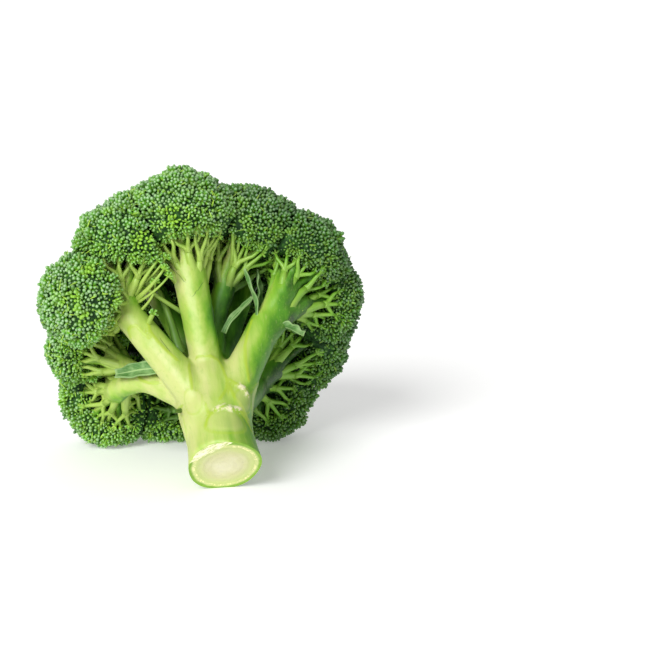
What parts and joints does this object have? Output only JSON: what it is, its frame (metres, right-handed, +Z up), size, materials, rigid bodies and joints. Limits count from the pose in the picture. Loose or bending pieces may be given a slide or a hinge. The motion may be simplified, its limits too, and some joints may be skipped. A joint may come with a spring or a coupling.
{
  "type": "broccoli head",
  "caption": "Cut head of broccoli lying on a surface: a pale branching stalk with a square-cut end, lobed caps of green flower buds and a few trimmed leaves.",
  "frame": {"origin": "under the middle of the head's bounding box, on the surface it lies on", "axes": "+Z up; the cut end of the stalk faces -Y and a little to +X, and the crown lies towards +Y"},
  "size_m": [0.162, 0.157, 0.1468],
  "materials": {
    "stalk": "smooth waxy skin, pale yellow-green on the cut and the sides in light, deeper green round the back",
    "buds": "matt grey-green buds with a dull bloom, yellow-green between them",
    "leaf": "satin blue-green with a pale waxy bloom"
  },
  "bodies": {
    "root": {"stalk": "stalk", "floret_top": "buds", "floret_top_right": "buds", "floret_right_upper": "buds", "floret_right": "buds", "floret_right_lower": "buds", "floret_foot_right": "buds", "floret_under": "buds", "floret_foot_left": "buds", "floret_left_lower": "buds", "floret_left": "buds", "floret_left_upper": "buds", "floret_crown_right": "buds", "floret_crown_back_right": "buds", "floret_crown_back_left": "buds", "floret_crown_left": "buds", "floret_crown_middle": "buds", "leaf_left": "leaf", "leaf_fork": "leaf", "leaf_fork_inner": "leaf", "leaf_sliver": "leaf", "leaf_right": "leaf"}
  },
  "joints": []
}
